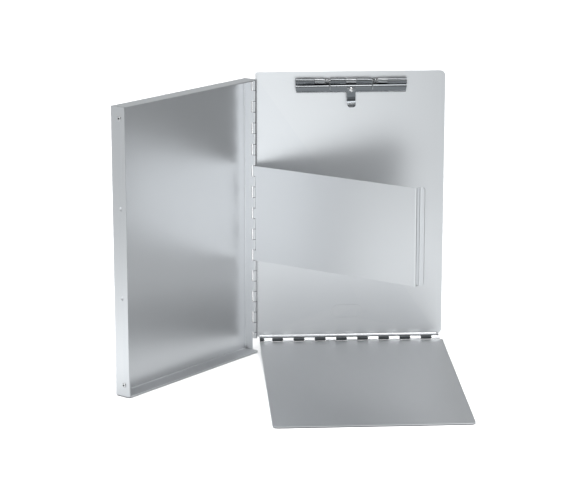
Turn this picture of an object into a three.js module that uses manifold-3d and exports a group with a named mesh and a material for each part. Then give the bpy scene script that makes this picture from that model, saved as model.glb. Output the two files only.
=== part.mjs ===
// Aluminium forms holder: a writing plate with a spring clip, a storage tray hinged along its
// left edge, a retaining flap on the same hinge, and a cover flap hinged along its bottom edge.
// Millimetres, +Z up. The writing plate stands upright in the X-Z plane and faces -Y. Each
// hinged piece is drawn folded shut against the plate, then turned about its hinge.
import * as THREE from 'three';
import { mergeVertices } from 'three/addons/utils/BufferGeometryUtils.js';
import Module from 'manifold-3d';

const wasm = await Module();
wasm.setup();

// ---- driving dimensions ----
const SHEET = 1.0;            // aluminium sheet
const GAP = 0.3;              // running clearance between pieces
const PITCH = 12.7;           // hinge knuckle length, half an inch
const KNUCKLE = { outer: 2.3, bore: 1.35, sides: 12, boreSides: 8 };
const PIN_R = 1.0;
const RELIEF = 2.65;          // sheet stops this far from a hinge axis, between its own knuckles
const COVER_RELIEF = 4.6;     // deeper notches in the cover flap
const KNUCKLE_GAP = 0.6;      // between neighbouring knuckles
const SEAM = 0.5;             // open seam between an end wall and the free wall
const BEND = { outer: 1.9, inner: 1.3 };

const PLATE = { left: 1.3, right: 224, front: 6.85, top: 334.5, corner: 6, topLeftCorner: 3 };
const TRAY = { width: 231, height: 328, depth: 13.9, corner: 4 };
const SIDE_KNUCKLES = 25;
const RETAINER_KNUCKLES = [8, 12, 16];    // counted down from the top of the side hinge
const RETAINER = { bend: 220, first: 8, count: 9, lip: 6.8, lipBack: 6.55, corner: 3 };
const BOTTOM = { y: -3.2, z: 13.4, left: 5, short: 10.5, next: 20.2, right: 220.7 };
const COVER = { length: 289, left: 5, right: 224, corner: 5 };

const TRAY_OPEN = 131.75;     // degrees each piece stands open from the plate
const RETAINER_OPEN = 37;
const COVER_OPEN = 92.2;

const CLIP = {
  x: 113, width: 130, z: 323.9, y: 3.1,     // middle, overall width and hinge pin position
  barrel: 3.5, bore: 1.9, pin: 1.5, sheet: 1.1,
  reach: 13.6, hollow: [-1.3, -4.0], ridge: [-3.3, -6.4], foot: [-2.7, -11.9],
};
const BASE_KNUCKLES = [[-42.5, -31], [-6, 6], [31, 42.5]];
const JAW_KNUCKLES = [[-65, -42.9], [-24, -6.4], [6.4, 24], [42.9, 65]];
const SPRING = {
  from: 25, turns: 4, pitch: 1.15, wire: 0.5, radius: 2.55,
  leg: [[-4.6, -9.4], [-4.75, -6.9], [-4.3, -4.1], [-3.4, -1.7]],   // y, z of the leg that bears on the jaw
};
const STEPS_PER_TURN = 9;
const CLIP_RIVET_X = 53;
const TAB = {
  width: 10, top: -7.3, bottom: -29.8, sheet: 0.9,
  neck: [-3.2, -15.2], bend: [-3.3, -21.0], lift: 5.2,
};
const TRAY_RIVET = { inset: 12.9, fromFloor: 13, head: 3.1, shank: 1.7, hole: 1.0 };

const UNDER_TOP_WALL = TRAY.height - SHEET;
const BOTTOM_FLANGE_Z = BOTTOM.z + KNUCKLE.outer - SHEET;
const EMBLEM = { x: 110, z: 44, width: 38, height: 17, rim: 1.6, relief: 0.4 };

// ---- materials ----
const aluminium = new THREE.MeshStandardMaterial({ color: 0xc9ccce, roughness: 0.38, metalness: 0.95 });
const nickel = new THREE.MeshStandardMaterial({ color: 0xb9b8b4, roughness: 0.18, metalness: 1 });
const springSteel = new THREE.MeshStandardMaterial({ color: 0xa2a3a5, roughness: 0.3, metalness: 1 });
const rivetAluminium = new THREE.MeshStandardMaterial({ color: 0xd8d9d9, roughness: 0.3, metalness: 1 });

// ---- solids ----
function toManifold(geometry) {
  const plain = geometry.clone();
  plain.deleteAttribute('normal');
  plain.deleteAttribute('uv');
  const merged = mergeVertices(plain, 1e-5);
  const mesh = new wasm.Mesh({
    numProp: 3,
    vertProperties: new Float32Array(merged.attributes.position.array),
    triVerts: new Uint32Array(merged.index.array),
  });
  return new wasm.Manifold(mesh);
}

function toMesh(name, solid, material) {
  const { vertProperties, triVerts, numProp } = solid.getMesh();
  const position = new Float32Array((vertProperties.length / numProp) * 3);
  for (let i = 0; i < position.length / 3; i += 1) {
    for (let k = 0; k < 3; k += 1) position[i * 3 + k] = vertProperties[i * numProp + k];
  }
  const geometry = new THREE.BufferGeometry();
  geometry.setAttribute('position', new THREE.BufferAttribute(position, 3));
  geometry.setIndex(new THREE.BufferAttribute(new Uint32Array(triVerts), 1));
  geometry.computeVertexNormals();
  const mesh = new THREE.Mesh(geometry, material);
  mesh.name = name;
  return mesh;
}

const join = (solids) => solids.reduce((whole, next) => whole.add(next));
const cut = (solid, tools) => tools.reduce((left, tool) => left.subtract(tool), solid);

function box([x0, x1], [y0, y1], [z0, z1]) {
  const geometry = new THREE.BoxGeometry(x1 - x0, y1 - y0, z1 - z0);
  geometry.translate((x0 + x1) / 2, (y0 + y1) / 2, (z0 + z1) / 2);
  return toManifold(geometry);
}

// A rod along 'x', 'y' or 'z' through the given point.
function rod(axis, radius, [from, to], centre, sides) {
  const geometry = new THREE.CylinderGeometry(radius, radius, to - from, sides);
  const middle = (from + to) / 2;
  if (axis === 'z') geometry.rotateX(Math.PI / 2).translate(centre[0], centre[1], middle);
  if (axis === 'x') geometry.rotateZ(-Math.PI / 2).translate(middle, centre[0], centre[1]);
  if (axis === 'y') geometry.translate(centre[0], middle, centre[1]);
  return toManifold(geometry);
}

// Rounds one fold that runs along 'x' or 'z'. The corner is the sharp outer one, in the two axes
// across the fold, and inward points from it into the sheet.
function roundFold(solid, axis, corner, inward, span) {
  const square = (start, size) => {
    const sides = [0, 1].map((k) => [start[k], start[k] + inward[k] * size].sort((a, b) => a - b));
    return axis === 'z' ? box(sides[0], sides[1], span) : box(span, sides[0], sides[1]);
  };
  const round = (start, radius) => rod(axis, radius, [span[0] - 1, span[1] + 1],
    [start[0] + inward[0] * radius, start[1] + inward[1] * radius], 24);
  const inside = [corner[0] + inward[0] * SHEET * 0.98, corner[1] + inward[1] * SHEET * 0.98];
  const outerWaste = square(corner, BEND.outer).subtract(round(corner, BEND.outer));
  const innerFill = square(inside, BEND.inner).subtract(round(inside, BEND.inner));
  return solid.subtract(outerWaste).add(innerFill);
}

// A rectangle whose corners [bottomLeft, bottomRight, topRight, topLeft] may be rounded.
function roundedRectangle([x0, x1], [y0, y1], [bl, br, tr, tl]) {
  const shape = new THREE.Shape();
  shape.moveTo(x0 + bl, y0);
  shape.lineTo(x1 - br, y0);
  if (br) shape.absarc(x1 - br, y0 + br, br, -Math.PI / 2, 0, false);
  shape.lineTo(x1, y1 - tr);
  if (tr) shape.absarc(x1 - tr, y1 - tr, tr, 0, Math.PI / 2, false);
  shape.lineTo(x0 + tl, y1);
  if (tl) shape.absarc(x0 + tl, y1 - tl, tl, Math.PI / 2, Math.PI, false);
  shape.lineTo(x0, y0 + bl);
  if (bl) shape.absarc(x0 + bl, y0 + bl, bl, Math.PI, 1.5 * Math.PI, false);
  return shape;
}

// A shape drawn in X-Z, made solid from y0 to y1.
function panel(shape, [y0, y1]) {
  const geometry = new THREE.ExtrudeGeometry(shape, { depth: y1 - y0, bevelEnabled: false, curveSegments: 8 });
  geometry.rotateX(Math.PI / 2).translate(0, y1, 0);
  return toManifold(geometry);
}

// A shape drawn in X-Y, made solid from z0 to z1.
function floorPlate(shape, [z0, z1]) {
  const geometry = new THREE.ExtrudeGeometry(shape, { depth: z1 - z0, bevelEnabled: false, curveSegments: 6 });
  geometry.translate(0, 0, z0);
  return toManifold(geometry);
}

// A profile drawn in Y-Z, made solid from x0 to x1.
function profileBar(shape, [x0, x1]) {
  const geometry = new THREE.ExtrudeGeometry(shape, { depth: x1 - x0, bevelEnabled: false, curveSegments: 6 });
  const basis = new THREE.Matrix4().makeBasis(
    new THREE.Vector3(0, 1, 0), new THREE.Vector3(0, 0, 1), new THREE.Vector3(1, 0, 0));
  geometry.applyMatrix4(basis).translate(x0, 0, 0);
  return toManifold(geometry);
}

// A strip of the given thickness that follows a list of points.
function stripShape(points, thickness) {
  const side = (sign) => points.map((point, i) => {
    const before = points[Math.max(i - 1, 0)];
    const after = points[Math.min(i + 1, points.length - 1)];
    const tangent = after.clone().sub(before).normalize();
    return new THREE.Vector2(-tangent.y, tangent.x).multiplyScalar((sign * thickness) / 2).add(point);
  });
  const outline = [...side(-1), ...side(1).reverse()];
  return new THREE.Shape(outline);
}

// Knuckle spans of the side hinge, counted down from under the tray's top wall.
function sideSpan(index) {
  const top = UNDER_TOP_WALL - index * PITCH;
  const low = Math.max(top - PITCH, BOTTOM_FLANGE_Z);
  return [low + KNUCKLE_GAP / 2, top - KNUCKLE_GAP / 2];
}

// Knuckle spans of the bottom hinge, left to right; even ones belong to the plate.
function bottomSpans() {
  const edges = [BOTTOM.left, BOTTOM.short];
  for (let x = BOTTOM.next; x < BOTTOM.right; x += PITCH) edges.push(x);
  edges.push(BOTTOM.right);
  return edges.slice(1).map((edge, i) => [edges[i] + KNUCKLE_GAP / 2, edge - KNUCKLE_GAP / 2]);
}

// ---- writing plate ----
function writingPlate(sideIndices, spans) {
  const back = PLATE.front + SHEET;
  const face = panel(roundedRectangle([PLATE.left, PLATE.right], [BOTTOM_FLANGE_Z, PLATE.top],
    [0, PLATE.corner, PLATE.corner, PLATE.topLeftCorner]), [PLATE.front, back]);
  const wallHeight = [BOTTOM_FLANGE_Z, UNDER_TOP_WALL - GAP];
  const sideWall = box([PLATE.left, PLATE.left + SHEET], [RELIEF, back], wallHeight);
  const bottomWall = box([BOTTOM.left, PLATE.right - PLATE.corner + 2], [BOTTOM.y + RELIEF, back],
    [BOTTOM_FLANGE_Z, BOTTOM_FLANGE_Z + SHEET]);
  let folded = join([face, sideWall, bottomWall]);
  folded = roundFold(folded, 'z', [PLATE.left, back], [1, -1], [BOTTOM_FLANGE_Z + 3, UNDER_TOP_WALL - GAP]);
  folded = roundFold(folded, 'x', [back, BOTTOM_FLANGE_Z], [-1, 1], [BOTTOM.left, PLATE.right - PLATE.corner]);
  const solids = [folded, emblem()];
  const bores = [];
  for (const index of sideIndices) {
    const span = sideSpan(index);
    solids.push(rod('z', KNUCKLE.outer, span, [0, 0], KNUCKLE.sides));
    solids.push(box([PLATE.left, PLATE.left + SHEET], [0, RELIEF + 0.1], span));
    bores.push(rod('z', KNUCKLE.bore, [span[0] - 1, span[1] + 1], [0, 0], KNUCKLE.boreSides));
  }
  for (const span of spans) {
    solids.push(rod('x', KNUCKLE.outer, span, [BOTTOM.y, BOTTOM.z], KNUCKLE.sides));
    solids.push(box(span, [BOTTOM.y, BOTTOM.y + RELIEF + 0.1], [BOTTOM_FLANGE_Z, BOTTOM_FLANGE_Z + SHEET]));
    bores.push(rod('x', KNUCKLE.bore, [span[0] - 1, span[1] + 1], [BOTTOM.y, BOTTOM.z], KNUCKLE.boreSides));
  }
  for (const side of [-1, 1]) bores.push(countersink(CLIP.x + side * CLIP_RIVET_X));
  return cut(join(solids), bores);
}

// A plain stadium-shaped rim, raised from the lower part of the plate.
function emblem() {
  const half = EMBLEM.height / 2;
  const stadium = (inset) => roundedRectangle(
    [EMBLEM.x - EMBLEM.width / 2 + inset, EMBLEM.x + EMBLEM.width / 2 - inset],
    [EMBLEM.z - half + inset, EMBLEM.z + half - inset], new Array(4).fill(half - inset - 0.01));
  const rim = panel(stadium(0), [PLATE.front - EMBLEM.relief, PLATE.front + 0.2]);
  return rim.subtract(panel(stadium(EMBLEM.rim), [PLATE.front - 1, PLATE.front + 1]));
}

// A turned solid whose axis runs along Y through (x, z); the profile holds [radius, y] pairs.
function turnedY(profile, x, z, sides) {
  const points = profile.map(([radius, y]) => new THREE.Vector2(radius, y));
  const geometry = new THREE.LatheGeometry(points, sides);
  return toManifold(geometry.translate(x, 0, z));
}

const RIVET_Z = CLIP.z - 7.6;
const RIVET = { shank: 1.5, flare: 2.6, head: 3.0, headHeight: 1.0 };

function countersink(x) {
  const back = PLATE.front + SHEET;
  const wide = RIVET.flare + GAP;
  const narrow = RIVET.shank + GAP;
  return turnedY([[0, PLATE.front - 1], [narrow, PLATE.front - 1], [narrow, PLATE.front + 0.1],
    [wide, back], [wide, back + 1], [0, back + 1]], x, RIVET_Z, 16);
}

function clipRivet(x) {
  const back = PLATE.front + SHEET;
  const seat = PLATE.front - GAP - CLIP.sheet - GAP;
  return turnedY([[0, seat - RIVET.headHeight], [RIVET.head * 0.7, seat - RIVET.headHeight],
    [RIVET.head, seat - 0.3], [RIVET.head, seat], [RIVET.shank, seat], [RIVET.shank, PLATE.front + 0.1],
    [RIVET.flare, back], [0, back]], x, RIVET_Z, 16);
}

// ---- storage tray ----
function storageTray(indices) {
  const front = PLATE.front;
  const left = PLATE.left;
  const wallShape = roundedRectangle([left, TRAY.width], [-TRAY.depth, front], [0, 0, 0, TRAY.corner]);
  const solids = [
    box([left, TRAY.width], [-TRAY.depth, -TRAY.depth + SHEET], [0, TRAY.height]),
    box([left, left + SHEET], [-TRAY.depth, -RELIEF], [0, TRAY.height]),
    box([TRAY.width - SHEET, TRAY.width], [-TRAY.depth, front], [0, TRAY.height]),
    floorPlate(wallShape, [0, SHEET]),
    floorPlate(wallShape, [TRAY.height - SHEET, TRAY.height]),
  ];
  let folded = join(solids);
  const floorY = -TRAY.depth;
  folded = roundFold(folded, 'z', [left, floorY], [1, 1], [0, TRAY.height]);
  folded = roundFold(folded, 'z', [TRAY.width, floorY], [-1, 1], [0, TRAY.height]);
  folded = roundFold(folded, 'x', [floorY, 0], [1, 1], [left + BEND.outer, TRAY.width - BEND.outer]);
  folded = roundFold(folded, 'x', [floorY, TRAY.height], [1, -1], [left + BEND.outer, TRAY.width - BEND.outer]);
  const added = [];
  const cuts = [];
  for (const index of indices) {
    const span = sideSpan(index);
    added.push(rod('z', KNUCKLE.outer, span, [0, 0], KNUCKLE.sides));
    added.push(box([left, left + SHEET], [-RELIEF - 0.1, 0], span));
    cuts.push(rod('z', KNUCKLE.bore, [span[0] - 1, span[1] + 1], [0, 0], KNUCKLE.boreSides));
  }
  const tabX = [TRAY.width - 2 * SHEET - GAP, TRAY.width - SHEET - GAP];
  const tabY = [-TRAY.depth + SHEET + BEND.inner + 0.3, front - 0.6];
  const tabLength = 2 * TRAY_RIVET.inset - 3;
  added.push(box(tabX, tabY, [SHEET / 2, tabLength]));
  added.push(box(tabX, tabY, [TRAY.height - tabLength, TRAY.height - SHEET / 2]));
  const seam = [TRAY.width - SHEET - SEAM, TRAY.width - SHEET];
  for (const z of [-1, TRAY.height - SHEET - 0.1]) {
    cuts.push(box(seam, [-TRAY.depth + BEND.outer + 1, front + 1], [z, z + SHEET + 1.1]));
  }
  for (const z of trayRivetHeights()) {
    const centre = [-TRAY.depth + TRAY_RIVET.fromFloor, z];
    cuts.push(rod('x', TRAY_RIVET.shank + GAP, [TRAY.width - 6, TRAY.width + 2], centre, 16));
  }
  const bumps = [];
  for (const z of [TRAY.height - 113.7, TRAY.height - 214.5]) {
    bumps.push(dimple(z, 2.1, 3.3, TRAY.width - SHEET + 0.2));
    cuts.push(dimple(z, 1.7, 2.7, TRAY.width));
  }
  return cut(join([folded, ...added, ...bumps]), cuts);
}

// An oval detent pressed inward through the tray's free wall.
function dimple(z, halfWidth, halfHeight, x) {
  const geometry = new THREE.SphereGeometry(1, 14, 8);
  geometry.scale(0.85, halfWidth, halfHeight);
  geometry.translate(x, -TRAY.depth + TRAY_RIVET.fromFloor, z);
  return toManifold(geometry);
}

function trayRivetHeights() {
  return [TRAY_RIVET.inset, TRAY.height - TRAY_RIVET.inset];
}

// A tubular rivet through the corner tab and the free wall, open down its middle.
function trayRivet(z) {
  const inside = TRAY.width - 2 * SHEET - 2 * GAP;
  const outside = TRAY.width + GAP;
  const { head, shank, hole } = TRAY_RIVET;
  const profile = [[hole, inside - 0.7], [head - 0.8, inside - 0.9], [head, inside - 0.3], [head, inside],
    [shank, inside], [shank, outside], [head - 0.3, outside],
    [head - 0.6, outside + 0.6], [hole, outside + 0.6],
    [hole, inside - 0.7]];
  const points = profile.map(([radius, y]) => new THREE.Vector2(radius, y));
  const geometry = new THREE.LatheGeometry(points, 16);
  geometry.rotateZ(-Math.PI / 2).translate(0, -TRAY.depth + TRAY_RIVET.fromFloor, z);
  return toManifold(geometry);
}

// ---- retaining flap ----
function retainingFlap() {
  const top = UNDER_TOP_WALL - RETAINER.first * PITCH - GAP;
  const low = UNDER_TOP_WALL - (RETAINER.first + RETAINER.count) * PITCH + GAP;
  const main = [-KNUCKLE.outer, -KNUCKLE.outer + SHEET];
  const { bend, lip, lipBack, corner } = RETAINER;
  const solids = [
    box([RELIEF, bend + SHEET], main, [low, top]),
    box([bend, bend + SHEET], [main[0], lipBack], [low, top]),
    panel(roundedRectangle([bend, bend + lip], [low, top], [0, corner, corner, 0]), [lipBack - SHEET, lipBack]),
  ];
  let folded = join(solids);
  folded = roundFold(folded, 'z', [bend + SHEET, main[0]], [-1, 1], [low, top]);
  folded = roundFold(folded, 'z', [bend, lipBack], [1, -1], [low, top]);
  const added = [folded];
  const gusset = new THREE.Shape([new THREE.Vector2(bend - 3.2, main[1] - 0.1),
    new THREE.Vector2(bend + 0.1, main[1] - 0.1), new THREE.Vector2(bend + 0.1, main[1] + 3.2)]);
  for (const z of [low + 4.8, top - 4.8]) added.push(floorPlate(gusset, [z - 1.1, z + 1.1]));
  const bores = [];
  for (const index of RETAINER_KNUCKLES) {
    const span = sideSpan(index);
    added.push(rod('z', KNUCKLE.outer, span, [0, 0], KNUCKLE.sides));
    added.push(box([0, RELIEF + 0.1], main, span));
    bores.push(rod('z', KNUCKLE.bore, [span[0] - 1, span[1] + 1], [0, 0], KNUCKLE.boreSides));
  }
  return cut(join(added), bores);
}

// ---- cover flap, drawn standing up from its hinge axis at the origin ----
function coverFlap(spans) {
  const sheet = [-KNUCKLE.outer, -KNUCKLE.outer + SHEET];
  const { left, right, length, corner } = COVER;
  const outline = roundedRectangle([left, right], [COVER_RELIEF, length], [0, 0, corner, corner]);
  const solids = [panel(outline, sheet)];
  const bores = [];
  // Each knuckle's neck slants from the sheet across to the far side of the pin.
  const joggle = new THREE.Shape([
    [sheet[0], COVER_RELIEF + 0.2], [sheet[0], COVER_RELIEF - 1], [0.2, 1.2],
    [1.55, 1.6], [sheet[1], COVER_RELIEF + 0.2],
  ].map(([y, z]) => new THREE.Vector2(y, z)));
  for (const span of spans) {
    solids.push(rod('x', KNUCKLE.outer, span, [0, 0], KNUCKLE.sides));
    solids.push(profileBar(joggle, span));
    bores.push(rod('x', KNUCKLE.bore, [span[0] - 1, span[1] + 1], [0, 0], KNUCKLE.boreSides));
  }
  return cut(join(solids), bores);
}

// ---- clip, drawn about its hinge pin at the origin ----
const PLATE_FROM_PIN = PLATE.front - CLIP.y;

function clipBase() {
  const backFace = PLATE_FROM_PIN - GAP;
  const sheetY = [backFace - CLIP.sheet, backFace];
  const half = CLIP.width / 2 - 4;
  const solids = [panel(roundedRectangle([-half, half], [-11, -4.2], [2, 2, 1, 1]), sheetY)];
  const cuts = [];
  for (const span of BASE_KNUCKLES) {
    solids.push(rod('x', CLIP.barrel, span, [0, 0], 18));
    solids.push(box(span, sheetY, [-4.3, 0]));
    cuts.push(rod('x', CLIP.bore, [span[0] - 1, span[1] + 1], [0, 0], 14));
  }
  for (const side of [-1, 1]) {
    cuts.push(rod('y', RIVET.shank + GAP, [0, 6], [side * CLIP_RIVET_X, RIVET_Z - CLIP.z], 16));
  }
  for (const span of JAW_KNUCKLES) {
    cuts.push(rod('x', CLIP.barrel + GAP, [span[0] - GAP, span[1] + GAP], [0, 0], 18));
  }
  return cut(join(solids), cuts);
}

// Middle line of the jaw's sheet from the front of the barrel down to the gripping edge.
function jawLine() {
  const radius = CLIP.barrel - CLIP.sheet / 2;
  const { hollow, ridge, foot, reach } = CLIP;
  const tip = PLATE_FROM_PIN - GAP - 0.6;
  return [[-radius, 0], [-radius + 0.35, -1.8], hollow, [ridge[0] + 0.35, ridge[1] + 0.8], ridge,
    [ridge[0] + 0.1, ridge[1] - 1.2], [foot[0] - 0.2, foot[1] + 1.6], foot, [foot[0] + 1.0, foot[1] - 0.9],
    [tip, -reach]].map(([y, z]) => new THREE.Vector2(y, z));
}

function clipJaw() {
  const half = CLIP.width / 2;
  const leaf = profileBar(stripShape(jawLine(), CLIP.sheet), [-half, half]);
  const solids = [leaf];
  const cuts = [];
  for (const span of JAW_KNUCKLES) {
    solids.push(rod('x', CLIP.barrel, span, [0, 0], 18));
    cuts.push(rod('x', CLIP.bore, [span[0] - 1, span[1] + 1], [0, 0], 14));
  }
  const clear = CLIP.barrel + 2 * GAP;
  for (const [x0, x1] of BASE_KNUCKLES) cuts.push(box([x0 - GAP, x1 + GAP], [-6, 6], [-clear, 6]));
  for (const side of [-1, 1]) {
    const slot = [SPRING.from - 0.8, SPRING.from + SPRING.turns * SPRING.pitch + 1.2];
    const span = side > 0 ? slot : [-slot[1], -slot[0]];
    cuts.push(box(span, [-6, 6], [-clear, 6]));
    cuts.push(endTaper(side, half));
  }
  cuts.push(rod('y', 1.6, [-6, 4], [0, TAB_RIVET_Z], 14));
  return cut(join(solids), cuts);
}

// Takes a slanting corner off each end of the jaw's gripping edge.
function endTaper(side, half) {
  const shape = new THREE.Shape([
    [half - 2.2, -20], [half + 1, -20], [half + 1, -4], [half, -5],
  ].map(([x, z]) => new THREE.Vector2(side * x, z)));
  return panel(shape, [-8, 8]);
}

// A torsion spring round the pin; one leg presses the jaw down, the other bears on the base.
function clipSpring(side) {
  const { from, turns, pitch, wire, radius } = SPRING;
  const points = [];
  for (const [y, z] of SPRING.leg) points.push(new THREE.Vector3(from, y, z));
  for (let i = 0; i <= STEPS_PER_TURN * turns; i += 1) {
    const angle = Math.PI + (i / STEPS_PER_TURN) * 2 * Math.PI;
    const x = from + (i / STEPS_PER_TURN) * pitch;
    points.push(new THREE.Vector3(x, Math.cos(angle) * radius, Math.sin(angle) * radius));
  }
  const mirrored = points.map((point) => new THREE.Vector3(side * point.x, point.y, point.z));
  const path = new THREE.CatmullRomCurve3(mirrored);
  const section = new THREE.Shape();
  section.absarc(0, 0, wire, 0, 2 * Math.PI, false);
  const geometry = new THREE.ExtrudeGeometry(section, {
    steps: STEPS_PER_TURN * turns + 8, bevelEnabled: false, extrudePath: path, curveSegments: 3,
  });
  return toManifold(geometry);
}

const TAB_RIVET_Z = -9.6;

// Finger tab on the middle of the jaw, its tip curled away from the plate.
function liftTab() {
  const out = CLIP.sheet / 2 + GAP + TAB.sheet / 2;
  const { ridge, foot } = CLIP;
  const lean = (foot[0] - ridge[0]) / (foot[1] - ridge[1]);
  const front = (z) => ridge[0] + lean * (z - ridge[1]) - out;
  const curve = new THREE.CatmullRomCurve3([
    new THREE.Vector3(front(TAB.top), TAB.top, 0), new THREE.Vector3(front(TAB_RIVET_Z), TAB_RIVET_Z, 0),
    new THREE.Vector3(front(foot[1]), foot[1], 0), new THREE.Vector3(...TAB.neck, 0),
    new THREE.Vector3(...TAB.bend, 0), new THREE.Vector3(TAB.bend[0] - 1.2, TAB.bend[1] - 2.6, 0),
    new THREE.Vector3(TAB.bend[0] - TAB.lift, TAB.bottom, 0)]);
  const points = curve.getPoints(14).map((point) => new THREE.Vector2(point.x, point.y));
  const half = TAB.width / 2;
  const strip = profileBar(stripShape(points, TAB.sheet), [-half, half]);
  const face = roundedRectangle([-half, half], [TAB.bottom - 0.4, TAB.top + 1], [4, 4, 2, 2]);
  const outline = panel(face, [-12, 4]);
  return strip.intersect(outline).subtract(rod('y', 1.6, [-8, 4], [0, TAB_RIVET_Z], 14));
}

function tabRivet() {
  const head = CLIP.ridge[0] - 1.75;
  return turnedY([[0, head - 0.9], [1.8, head - 0.75], [2.6, head], [1.25, head], [1.25, 1.2], [0, 1.2]],
    0, TAB_RIVET_Z, 14);
}

// ---- assembly ----
const isRetainer = (index) => RETAINER_KNUCKLES.includes(index);
const allSide = Array.from({ length: SIDE_KNUCKLES }, (_, index) => index);
const plateKnuckles = allSide.filter((index) => index % 2 === 0 && !isRetainer(index));
const trayKnuckles = allSide.filter((index) => index % 2 === 1);
const spans = bottomSpans();
const radians = THREE.MathUtils.degToRad;

const holder = new THREE.Group();

const plateSpans = spans.filter((_, i) => i % 2 === 0);
holder.add(toMesh('writing_plate', writingPlate(plateKnuckles, plateSpans), aluminium));
holder.add(toMesh('side_hinge_pin',
  rod('z', PIN_R, [BOTTOM_FLANGE_Z + 0.5, UNDER_TOP_WALL - 0.5], [0, 0], 10), springSteel));
holder.add(toMesh('bottom_hinge_pin',
  rod('x', PIN_R, [BOTTOM.left + 0.5, BOTTOM.right - 0.5], [BOTTOM.y, BOTTOM.z], 10), springSteel));

const tray = new THREE.Group();
tray.rotation.z = -radians(TRAY_OPEN);
tray.add(toMesh('storage_tray', storageTray(trayKnuckles), aluminium));
['tray_rivet_bottom', 'tray_rivet_top'].forEach((name, i) => {
  tray.add(toMesh(name, trayRivet(trayRivetHeights()[i]), rivetAluminium));
});

const retainer = new THREE.Group();
retainer.rotation.z = -radians(RETAINER_OPEN);
retainer.add(toMesh('retaining_flap', retainingFlap(), aluminium));

const cover = new THREE.Group();
cover.position.set(0, BOTTOM.y, BOTTOM.z);
cover.rotation.x = radians(COVER_OPEN);
cover.add(toMesh('cover_flap', coverFlap(spans.filter((_, i) => i % 2 === 1)), aluminium));

const clip = new THREE.Group();
clip.position.set(CLIP.x, CLIP.y, CLIP.z);
clip.add(toMesh('clip_base', clipBase(), nickel));
const pinSpan = [-CLIP.width / 2 + 0.5, CLIP.width / 2 - 0.5];
clip.add(toMesh('clip_pin', rod('x', CLIP.pin, pinSpan, [0, 0], 14), springSteel));
clip.add(toMesh('clip_jaw', clipJaw(), nickel));
clip.add(toMesh('clip_spring_left', clipSpring(-1), springSteel));
clip.add(toMesh('clip_spring_right', clipSpring(1), springSteel));
clip.add(toMesh('clip_lift_tab', liftTab(), nickel));
clip.add(toMesh('clip_tab_rivet', tabRivet(), rivetAluminium));

holder.add(toMesh('clip_rivet_left', clipRivet(CLIP.x - CLIP_RIVET_X), rivetAluminium));
holder.add(toMesh('clip_rivet_right', clipRivet(CLIP.x + CLIP_RIVET_X), rivetAluminium));
holder.add(tray, retainer, cover, clip);

// Rest the whole on z = 0 with its footprint centred on the origin.
const model = new THREE.Group();
model.add(holder);
model.updateMatrixWorld(true);
const bounds = new THREE.Box3().setFromObject(model, true);
holder.position.set(-(bounds.min.x + bounds.max.x) / 2, -(bounds.min.y + bounds.max.y) / 2, -bounds.min.z);

export default model;
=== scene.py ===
"""Looks for the aluminium forms holder: camera, studio, and the finish of every piece.

Everything is in metres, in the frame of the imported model. The folded sheet keeps its CAD shape and gets
its edge radii from bevel modifiers.
"""

import math

import bpy
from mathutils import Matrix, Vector

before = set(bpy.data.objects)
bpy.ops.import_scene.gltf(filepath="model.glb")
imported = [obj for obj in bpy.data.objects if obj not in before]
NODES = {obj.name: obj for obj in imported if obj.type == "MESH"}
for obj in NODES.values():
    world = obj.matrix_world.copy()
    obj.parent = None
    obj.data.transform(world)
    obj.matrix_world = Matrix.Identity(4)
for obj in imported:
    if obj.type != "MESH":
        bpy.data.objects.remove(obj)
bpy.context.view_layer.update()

# ---- camera ----
CAMERA_AT = Vector((-0.1471, -2.4088, 0.7616))
CAMERA_YAW = -0.062
CAMERA_PITCH = 0.245
LENS = 138.2
SENSOR = 36.0

# ---- studio tones: (from, to, tone at from, tone at to) ----
FLOOR_LEFT = (-1.0, -0.30, 0.48, 1.0)
FLOOR_RIGHT = (0.20, 0.48, 1.0, 0.22)
FLOOR_FRONT = (-1.3, -0.45, 1.30, 1.12)
FLOOR_PAINTED_SHADOW = (0.10, 0.34, 0.55, 1.0)       # painted shadow in the floor's glowing tone, by distance from the middle of the footprint
WORLD_LEFT = (-0.9, -0.2, 0.58, 1.0)
WORLD_RIGHT = (0.1, 0.8, 0.9, 0.42)
WORLD_TOP = (0.0, 0.42, 0.80, 0.40)
STUDIO_TINT = (0.945, 0.98, 1.0, 1)
FLOOR_LIGHT = 4.2
FLOOR_SIZE = 6.0
FLOOR_DROP = -0.0012
STRIP = {"at": (0.0, -1.1, 1.9), "aim": (0.05, 0, 0.2), "size": (1.8, 0.14), "power": 5}
OVERHEAD = {"at": (0.0, -0.35, 1.9), "aim": (0.0, -0.05, 0.2), "size": (1.4, 0.5), "power": 10}

# ---- metal ----
SHEET_TONES = ((0.885, 0.895, 0.91), (0.87, 0.88, 0.895))
# painted shade tones for the plate's knuckles on the bottom hinge
PAINTED_SHADE_TONES = ((0.10, 0.105, 0.11), (0.07, 0.075, 0.08))
SHEET_EDGE = 0.0003          # bevel widths
CLIP_EDGE = 0.00025
TURNED_EDGE = 0.00012
SHEET = ["writing_plate", "storage_tray", "retaining_flap", "cover_flap"]
CLIP = ["clip_base", "clip_jaw", "clip_lift_tab"]
RIVETS = ["clip_rivet_left", "clip_rivet_right", "tray_rivet_bottom", "tray_rivet_top", "clip_tab_rivet"]
PINS = ["side_hinge_pin", "bottom_hinge_pin", "clip_pin"]
SPRINGS = ["clip_spring_left", "clip_spring_right"]
BEVEL_SEGMENTS = 2
HINGE_SHADE = 0.0034         # how near the hinge axis a plate knuckle gets the painted shade
BOTTOM_HINGE = (0.13884, 0.0134)   # y, z of the cover hinge axis
PAINTED_SHADE_REACH = 0.007              # reach of the painted shade in hinge gaps and inside bends


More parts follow.
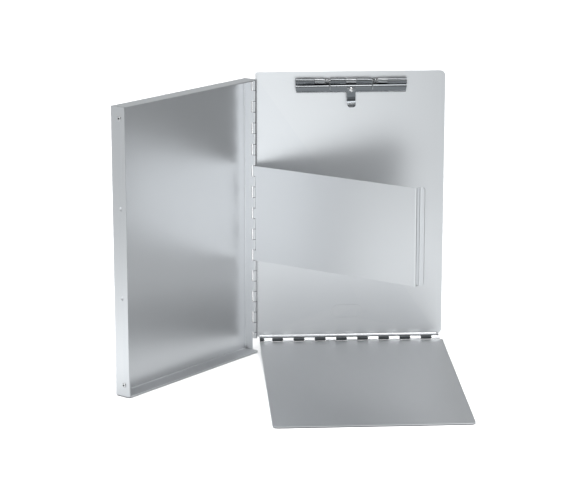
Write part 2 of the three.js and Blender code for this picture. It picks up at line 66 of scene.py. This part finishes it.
def add_camera():
    data = bpy.data.cameras.new("camera")
    data.lens = LENS
    data.sensor_width = SENSOR
    camera = bpy.data.objects.new("camera", data)
    bpy.context.scene.collection.objects.link(camera)
    camera.location = CAMERA_AT
    flat = math.cos(CAMERA_PITCH)
    look = Vector((-math.sin(CAMERA_YAW) * flat, math.cos(CAMERA_YAW) * flat, -math.sin(CAMERA_PITCH)))
    camera.rotation_euler = look.to_track_quat("-Z", "Y").to_euler()
    bpy.context.scene.camera = camera


def add_area_light(name, at, aim, size, power):
    data = bpy.data.lights.new(name, "AREA")
    data.shape = "RECTANGLE"
    data.size, data.size_y = size
    data.energy = power
    light = bpy.data.objects.new(name, data)
    bpy.context.scene.collection.objects.link(light)
    light.location = at
    light.rotation_euler = (Vector(aim) - Vector(at)).to_track_quat("-Z", "Y").to_euler()


def add_floor_light():
    """Lights the floor evenly white; the metal doesn't mirror it."""
    data = bpy.data.lights.new("floor_light", "SUN")
    data.energy = FLOOR_LIGHT
    data.angle = math.radians(70)
    light = bpy.data.objects.new("floor_light", data)
    bpy.context.scene.collection.objects.link(light)
    light.rotation_euler = (math.radians(12), math.radians(-8), 0)
    light.visible_glossy = False


def new_material(name):
    material = bpy.data.materials.new(name)
    material.use_nodes = True
    nodes = material.node_tree.nodes
    return material, nodes, material.node_tree.links, nodes["Principled BSDF"]


def by_camera_ray(nodes, links, seen, reflected):
    """The studio looks plain white straight on; what the metal mirrors is a softer set of tones."""
    path = nodes.new("ShaderNodeLightPath")
    mix = nodes.new("ShaderNodeMixShader")
    links.new(path.outputs["Is Camera Ray"], mix.inputs[0])
    links.new(reflected, mix.inputs[1])
    links.new(seen, mix.inputs[2])
    return mix.outputs[0]


def smooth_step(nodes, links, value, start, end, low, high):
    node = nodes.new("ShaderNodeMapRange")
    node.interpolation_type = "SMOOTHSTEP"
    for name, number in (("From Min", start), ("From Max", end), ("To Min", low), ("To Max", high)):
        node.inputs[name].default_value = number
    links.new(value, node.inputs["Value"])
    return node.outputs["Result"]


def multiply(nodes, links, a, b):
    node = nodes.new("ShaderNodeMath")
    node.operation = "MULTIPLY"
    links.new(a, node.inputs[0])
    links.new(b, node.inputs[1])
    return node.outputs[0]


def add_floor():
    """A pale floor. For all but camera rays it glows with a tone of its own, which falls away to the right
    of the holder and close in front of it, and a painted shadow darkens it round the holder.
    """
    mesh = bpy.data.meshes.new("floor")
    corners = [(x * FLOOR_SIZE, y * FLOOR_SIZE, 0) for x, y in ((-1, -1), (1, -1), (1, 1), (-1, 1))]
    mesh.from_pydata(corners, [], [(0, 1, 2, 3)])
    floor = bpy.data.objects.new("floor", mesh)
    floor.location.z = FLOOR_DROP
    bpy.context.scene.collection.objects.link(floor)
    material, nodes, links, shader = new_material("pale_floor")
    shader.inputs["Base Color"].default_value = (0.93, 0.93, 0.93, 1)
    shader.inputs["Roughness"].default_value = 0.9
    shader.inputs["Specular IOR Level"].default_value = 0.1
    place = nodes.new("ShaderNodeTexCoord")
    split = nodes.new("ShaderNodeSeparateXYZ")
    links.new(place.outputs["Object"], split.inputs[0])
    to_right = smooth_step(nodes, links, split.outputs["X"], *FLOOR_RIGHT)
    to_left = smooth_step(nodes, links, split.outputs["X"], *FLOOR_LEFT)
    to_front = smooth_step(nodes, links, split.outputs["Y"], *FLOOR_FRONT)
    distance = nodes.new("ShaderNodeVectorMath")
    distance.operation = "LENGTH"
    links.new(place.outputs["Object"], distance.inputs[0])
    # painted shadow: the floor's glowing tone darkens close round the holder
    painted_shadow = smooth_step(nodes, links, distance.outputs["Value"], *FLOOR_PAINTED_SHADOW)
    tone = nodes.new("ShaderNodeEmission")
    tone.inputs["Color"].default_value = STUDIO_TINT
    sides = multiply(nodes, links, to_right, to_left)
    spread = multiply(nodes, links, sides, to_front)
    links.new(multiply(nodes, links, spread, painted_shadow), tone.inputs["Strength"])
    surface = by_camera_ray(nodes, links, shader.outputs[0], tone.outputs[0])
    links.new(surface, nodes["Material Output"].inputs["Surface"])
    mesh.materials.append(material)


def set_world():
    """Soft studio surround: bright to the left and in front, darker to the right and overhead."""
    world = bpy.data.worlds.new("studio")
    bpy.context.scene.world = world
    world.use_nodes = True
    nodes, links = world.node_tree.nodes, world.node_tree.links
    white = nodes["Background"]
    white.inputs["Color"].default_value = (1, 1, 1, 1)
    place = nodes.new("ShaderNodeTexCoord")
    split = nodes.new("ShaderNodeSeparateXYZ")
    links.new(place.outputs["Generated"], split.inputs[0])
    to_right = smooth_step(nodes, links, split.outputs["X"], *WORLD_RIGHT)
    to_left = smooth_step(nodes, links, split.outputs["X"], *WORLD_LEFT)
    to_top = smooth_step(nodes, links, split.outputs["Z"], *WORLD_TOP)
    tone = nodes.new("ShaderNodeBackground")
    tone.inputs["Color"].default_value = STUDIO_TINT
    sides = multiply(nodes, links, to_right, to_left)
    links.new(multiply(nodes, links, sides, to_top), tone.inputs["Strength"])
    surface = by_camera_ray(nodes, links, white.outputs[0], tone.outputs[0])
    links.new(surface, nodes["World Output"].inputs["Surface"])


def noise(nodes, links, vector, scale, detail=3.0, roughness=0.5):
    node = nodes.new("ShaderNodeTexNoise")
    node.inputs["Scale"].default_value = scale
    node.inputs["Detail"].default_value = detail
    node.inputs["Roughness"].default_value = roughness
    links.new(vector, node.inputs["Vector"])
    return node.outputs["Fac"]


def stretched(nodes, links, scale):
    """Object coordinates, scaled separately along each axis."""
    place = nodes.new("ShaderNodeTexCoord")
    mapping = nodes.new("ShaderNodeMapping")
    mapping.inputs["Scale"].default_value = scale
    links.new(place.outputs["Object"], mapping.inputs["Vector"])
    return mapping.outputs["Vector"]


def mapped(nodes, links, value, low, high, from_low=0.3, from_high=0.7):
    node = nodes.new("ShaderNodeMapRange")
    node.inputs["From Min"].default_value = from_low
    node.inputs["From Max"].default_value = from_high
    node.inputs["To Min"].default_value = low
    node.inputs["To Max"].default_value = high
    links.new(value, node.inputs["Value"])
    return node.outputs["Result"]


def paint_crevice_shade(nodes, links, colour):
    """Painted shade in the hinge gaps, round the rivets and inside the folds: ambient occlusion darkens the
    colour.
    """
    occlusion = nodes.new("ShaderNodeAmbientOcclusion")
    occlusion.samples = 8
    occlusion.inputs["Distance"].default_value = PAINTED_SHADE_REACH
    tone = nodes.new("ShaderNodeMix")
    tone.data_type = "RGBA"
    # colour of the painted shade where occlusion is full
    tone.inputs["A"].default_value = (0.12, 0.12, 0.125, 1)
    links.new(mapped(nodes, links, occlusion.outputs["AO"], 0, 1, 0.1, 0.62), tone.inputs["Factor"])
    links.new(colour, tone.inputs["B"])
    return tone.outputs["Result"]


def metal(name, light, dark, roughness, grain, grain_depth, edge_lightening=0.0):
    """Metal with a rolled or drawn grain, faint cloudy tone, lighter convex edges, and painted shade in its
    crevices.
    """
    material, nodes, links, shader = new_material(name)
    shader.inputs["Metallic"].default_value = 1.0
    streaks = noise(nodes, links, stretched(nodes, links, grain), 1.0, 4.0, 0.6)
    clouds = noise(nodes, links, stretched(nodes, links, (9, 9, 9)), 1.0, 3.0, 0.55)
    tone = nodes.new("ShaderNodeMix")
    tone.data_type = "RGBA"
    tone.inputs["A"].default_value = (*dark, 1)
    tone.inputs["B"].default_value = (*light, 1)
    blend = nodes.new("ShaderNodeMath")
    blend.operation = "MULTIPLY_ADD"
    blend.inputs[1].default_value = 0.45
    links.new(mapped(nodes, links, streaks, 0, 1), blend.inputs[0])
    links.new(mapped(nodes, links, clouds, 0, 0.55), blend.inputs[2])
    links.new(blend.outputs[0], tone.inputs["Factor"])
    colour = tone.outputs["Result"]
    if edge_lightening:
        geometry = nodes.new("ShaderNodeNewGeometry")
        edge = mapped(nodes, links, geometry.outputs["Pointiness"], 0, edge_lightening, 0.52, 0.6)
        lightened_edge = nodes.new("ShaderNodeMix")
        lightened_edge.data_type = "RGBA"
        lightened_edge.inputs["B"].default_value = (0.95, 0.95, 0.95, 1)
        links.new(edge, lightened_edge.inputs["Factor"])
        links.new(colour, lightened_edge.inputs["A"])
        colour = lightened_edge.outputs["Result"]
    links.new(paint_crevice_shade(nodes, links, colour), shader.inputs["Base Color"])
    links.new(mapped(nodes, links, streaks, roughness * 0.95, roughness * 1.06), shader.inputs["Roughness"])
    bump = nodes.new("ShaderNodeBump")
    bump.inputs["Strength"].default_value = grain_depth
    bump.inputs["Distance"].default_value = 0.000004
    links.new(streaks, bump.inputs["Height"])
    links.new(bump.outputs["Normal"], shader.inputs["Normal"])
    return material


def dress(names, material):
    for name in names:
        mesh = NODES[name].data
        mesh.materials.clear()
        mesh.materials.append(material)


def paint_knuckle_shade(name, axis, material):
    """Gives the knuckles round a hinge axis that runs along x their own, darker material: painted shade."""
    mesh = NODES[name].data
    mesh.materials.append(material)
    to_world = NODES[name].matrix_world
    for face in mesh.polygons:
        centre = to_world @ face.center
        if math.hypot(centre.y - axis[0], centre.z - axis[1]) < HINGE_SHADE:
            face.material_index = 1


def soften(names, width):
    """Rounds the folded and sheared edges of a CAD piece."""
    for name in names:
        node = NODES[name]
        weld = node.modifiers.new("weld", "WELD")
        weld.merge_threshold = 0.000001
        bevel = node.modifiers.new("bends", "BEVEL")
        bevel.width = width
        bevel.segments = BEVEL_SEGMENTS
        bevel.limit_method = "ANGLE"
        bevel.angle_limit = math.radians(50)
        bevel.use_clamp_overlap = True
        bevel.harden_normals = False
        smooth_by_angle(node)


def smooth_by_angle(node):
    node.data.polygons.foreach_set("use_smooth", [True] * len(node.data.polygons))
    normals = node.modifiers.new("normals", "WEIGHTED_NORMAL")
    normals.keep_sharp = True
    normals.weight = 80


def finish_metal():
    aluminium = metal("rolled_aluminium", *SHEET_TONES, 0.34, (25, 25, 700), 0.1, 0.25)
    flap = metal("rolled_aluminium_flap", *SHEET_TONES, 0.34, (700, 25, 25), 0.1, 0.25)
    # base colour far darker than real nickel: painted shade standing in for the dark surroundings the clip
    # mirrors
    nickel = metal("nickel_plate", (0.17, 0.18, 0.19), (0.13, 0.14, 0.15), 0.10, (40, 500, 500), 0.5, 0.2)
    wire = metal("drawn_wire", (0.62, 0.63, 0.64), (0.5, 0.51, 0.52), 0.22, (300, 300, 300), 0.5)
    rivet = metal("rivet_aluminium", (0.88, 0.88, 0.88), (0.8, 0.8, 0.8), 0.22, (500, 500, 500), 0.5)
    dress(["writing_plate", "storage_tray", "retaining_flap"], aluminium)
    dress(["cover_flap"], flap)
    # the plate's knuckles on the bottom hinge get painted shade
    shaded = metal("aluminium_painted_shade", *PAINTED_SHADE_TONES, 0.4, (25, 25, 700), 0.1)
    paint_knuckle_shade("writing_plate", BOTTOM_HINGE, shaded)
    dress(CLIP, nickel)
    dress(PINS + SPRINGS, wire)
    dress(RIVETS, rivet)


def shape_edges():
    soften(SHEET, SHEET_EDGE)
    soften(CLIP, CLIP_EDGE)
    soften(RIVETS + PINS, TURNED_EDGE)


add_camera()
add_floor()
set_world()
add_floor_light()
add_area_light("strip", **STRIP)
add_area_light("overhead", **OVERHEAD)
shape_edges()
finish_metal()
bpy.context.scene.view_settings.view_transform = "Standard"
